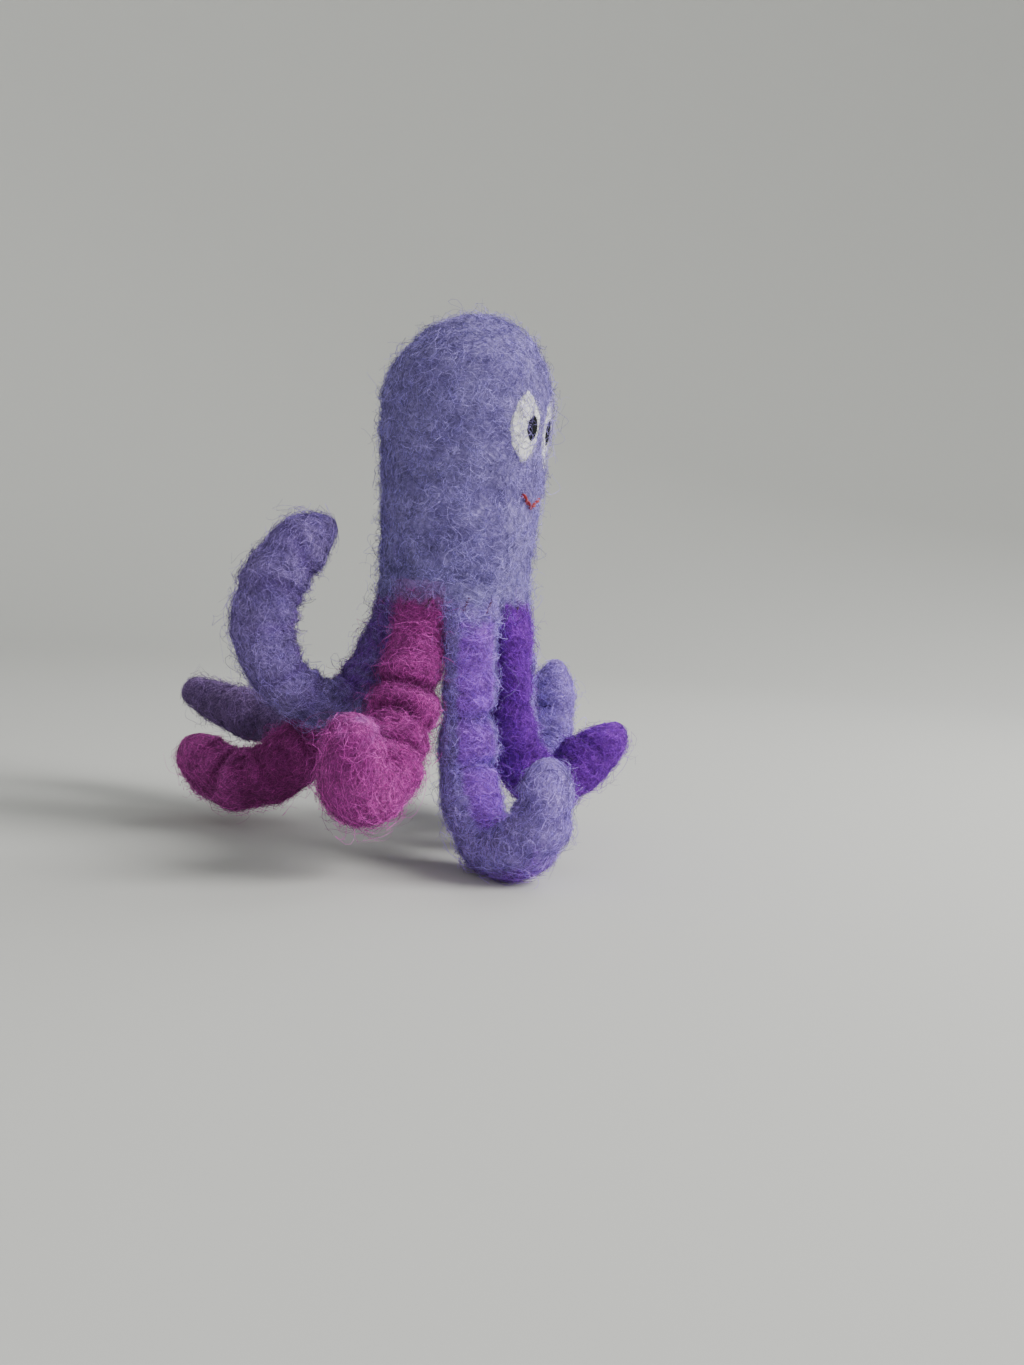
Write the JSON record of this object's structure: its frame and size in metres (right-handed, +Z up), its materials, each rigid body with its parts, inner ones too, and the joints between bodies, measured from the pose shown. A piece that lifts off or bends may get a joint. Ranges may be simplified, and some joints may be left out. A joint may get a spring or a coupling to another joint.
{
  "type": "octopus finger puppet",
  "caption": "Felted octopus puppet: a hollow egg-shaped head that fits on a finger, with white almond eyes, a stitched smile and curled felt arms that lift and curl.",
  "frame": {"origin": "centre of the finger pocket's mouth, in the plane of the neck's rim", "axes": "+Z up the head's axis, the face looks along -Y, the octopus's own left is +X"},
  "size_m": [0.115, 0.1314, 0.1246],
  "materials": {
    "lavender_felt": "hand-felted wool, fuzzy, with curly loose fibres",
    "periwinkle_felt": "hand-felted wool, fuzzy, with curly loose fibres",
    "violet_felt": "hand-felted wool, fuzzy, with curly loose fibres",
    "iris_felt": "hand-felted wool, fuzzy, with curly loose fibres",
    "dusk_felt": "hand-felted wool, fuzzy, with curly loose fibres",
    "magenta_felt": "hand-felted wool, fuzzy, with curly loose fibres",
    "plum_felt": "hand-felted wool, fuzzy, with curly loose fibres",
    "white_felt": "hand-felted wool, fuzzy, with curly loose fibres",
    "black_felt": "hand-felted wool, fuzzy, with curly loose fibres",
    "red_thread": "matt sewing thread",
    "plum_thread": "matt sewing thread",
    "violet_thread": "matt sewing thread"
  },
  "bodies": {
    "head": {"head_shell": "lavender_felt", "eye_white_right": "white_felt", "eye_white_left": "white_felt", "pupil_right": "black_felt", "pupil_left": "black_felt", "mouth_stitches": "red_thread", "neck_stitches": "plum_thread"},
    "arm_front_upper": {"arm_front_upper": "violet_felt", "arm_front_upper_thread": "violet_thread"},
    "arm_front_lower": {"arm_front_lower": "violet_felt", "arm_front_lower_thread": "violet_thread"},
    "arm_front_left_upper": {"arm_front_left_upper": "periwinkle_felt", "arm_front_left_upper_thread": "violet_thread"},
    "arm_front_left_lower": {"arm_front_left_lower": "periwinkle_felt", "arm_front_left_lower_thread": "violet_thread"},
    "arm_left_upper": {"arm_left_upper": "periwinkle_felt", "arm_left_upper_thread": "violet_thread"},
    "arm_left_lower": {"arm_left_lower": "periwinkle_felt", "arm_left_lower_thread": "violet_thread"},
    "arm_back_left_upper": {"arm_back_left_upper": "dusk_felt", "arm_back_left_upper_thread": "violet_thread"},
    "arm_back_left_lower": {"arm_back_left_lower": "dusk_felt", "arm_back_left_lower_thread": "violet_thread"},
    "arm_back_upper": {"arm_back_upper": "plum_felt", "arm_back_upper_thread": "violet_thread"},
    "arm_back_lower": {"arm_back_lower": "plum_felt", "arm_back_lower_thread": "violet_thread"},
    "arm_back_right_upper": {"arm_back_right_upper": "iris_felt", "arm_back_right_upper_thread": "violet_thread"},
    "arm_back_right_lower": {"arm_back_right_lower": "iris_felt", "arm_back_right_lower_thread": "violet_thread"},
    "arm_right_upper": {"arm_right_upper": "magenta_felt", "arm_right_upper_thread": "violet_thread"},
    "arm_right_lower": {"arm_right_lower": "magenta_felt", "arm_right_lower_thread": "violet_thread"},
    "arm_front_right_upper": {"arm_front_right_upper": "periwinkle_felt", "arm_front_right_upper_thread": "violet_thread"},
    "arm_front_right_lower": {"arm_front_right_lower": "periwinkle_felt", "arm_front_right_lower_thread": "violet_thread"}
  },
  "joints": [
    {"name": "arm_front_lift", "type": "hinge", "parent": "head", "child": "arm_front_upper", "pos_m": [0, -0.0157, -0.005], "axis": [-0.6691, -0.7431, 0], "range_deg": [-5, 25], "stiffness_Nm_per_rad": 0.05},
    {"name": "arm_front_curl", "type": "hinge", "parent": "arm_front_upper", "child": "arm_front_lower", "pos_m": [0.00522, -0.0204, -0.03428], "axis": [-0.6691, -0.7431, 0], "range_deg": [-20, 10], "stiffness_Nm_per_rad": 0.03},
    {"name": "arm_front_left_lift", "type": "hinge", "parent": "head", "child": "arm_front_left_upper", "pos_m": [0.0111, -0.0111, -0.005], "axis": [0.1045, -0.9945, 0], "range_deg": [-5, 25], "stiffness_Nm_per_rad": 0.05},
    {"name": "arm_front_left_curl", "type": "hinge", "parent": "arm_front_left_upper", "child": "arm_front_left_lower", "pos_m": [0.031, -0.00901, -0.03754], "axis": [0.1045, -0.9945, 0], "range_deg": [-20, 10], "stiffness_Nm_per_rad": 0.03},
    {"name": "arm_left_lift", "type": "hinge", "parent": "head", "child": "arm_left_upper", "pos_m": [0.0157, 0, -0.005], "axis": [0.4695, -0.8829, 0], "range_deg": [-5, 25], "stiffness_Nm_per_rad": 0.05},
    {"name": "arm_left_curl", "type": "hinge", "parent": "arm_left_upper", "child": "arm_left_lower", "pos_m": [0.03966, 0.01274, -0.0391], "axis": [0.4695, -0.8829, 0], "range_deg": [-20, 10], "stiffness_Nm_per_rad": 0.03},
    {"name": "arm_back_left_lift", "type": "hinge", "parent": "head", "child": "arm_back_left_upper", "pos_m": [0.0111, 0.0111, -0.005], "axis": [0.9994, -0.0349, 0], "range_deg": [-5, 25], "stiffness_Nm_per_rad": 0.05},
    {"name": "arm_back_left_curl", "type": "hinge", "parent": "arm_back_left_upper", "child": "arm_back_left_lower", "pos_m": [0.01238, 0.0477, -0.03137], "axis": [0.9994, -0.0349, 0], "range_deg": [-20, 10], "stiffness_Nm_per_rad": 0.03},
    {"name": "arm_back_lift", "type": "hinge", "parent": "head", "child": "arm_back_upper", "pos_m": [0, 0.0157, -0.005], "axis": [0.9659, 0.2588, 0], "range_deg": [-5, 25], "stiffness_Nm_per_rad": 0.05},
    {"name": "arm_back_curl", "type": "hinge", "parent": "arm_back_upper", "child": "arm_back_lower", "pos_m": [-0.00688, 0.04139, -0.03943], "axis": [0.9659, 0.2588, 0], "range_deg": [-20, 10], "stiffness_Nm_per_rad": 0.03},
    {"name": "arm_back_right_lift", "type": "hinge", "parent": "head", "child": "arm_back_right_upper", "pos_m": [-0.0111, 0.0111, -0.005], "axis": [0.766, 0.6428, 0], "range_deg": [-5, 8], "stiffness_Nm_per_rad": 0.05},
    {"name": "arm_back_right_curl", "type": "hinge", "parent": "arm_back_right_upper", "child": "arm_back_right_lower", "pos_m": [-0.02653, 0.02949, -0.01403], "axis": [0.766, 0.6428, 0], "range_deg": [-20, 6], "stiffness_Nm_per_rad": 0.03},
    {"name": "arm_right_lift", "type": "hinge", "parent": "head", "child": "arm_right_upper", "pos_m": [-0.0157, 0, -0.005], "axis": [-0.1564, 0.9877, 0], "range_deg": [-5, 25], "stiffness_Nm_per_rad": 0.05},
    {"name": "arm_right_curl", "type": "hinge", "parent": "arm_right_upper", "child": "arm_right_lower", "pos_m": [-0.03844, -0.0036, -0.0349], "axis": [-0.1564, 0.9877, 0], "range_deg": [-20, 10], "stiffness_Nm_per_rad": 0.03},
    {"name": "arm_front_right_lift", "type": "hinge", "parent": "head", "child": "arm_front_right_upper", "pos_m": [-0.0111, -0.0111, -0.005], "axis": [-0.7071, 0.7071, 0], "range_deg": [-5, 25], "stiffness_Nm_per_rad": 0.05},
    {"name": "arm_front_right_curl", "type": "hinge", "parent": "arm_front_right_upper", "child": "arm_front_right_lower", "pos_m": [-0.01591, -0.01826, -0.04349], "axis": [-0.9063, 0.4226, 0], "range_deg": [-20, 10], "stiffness_Nm_per_rad": 0.03}
  ]
}
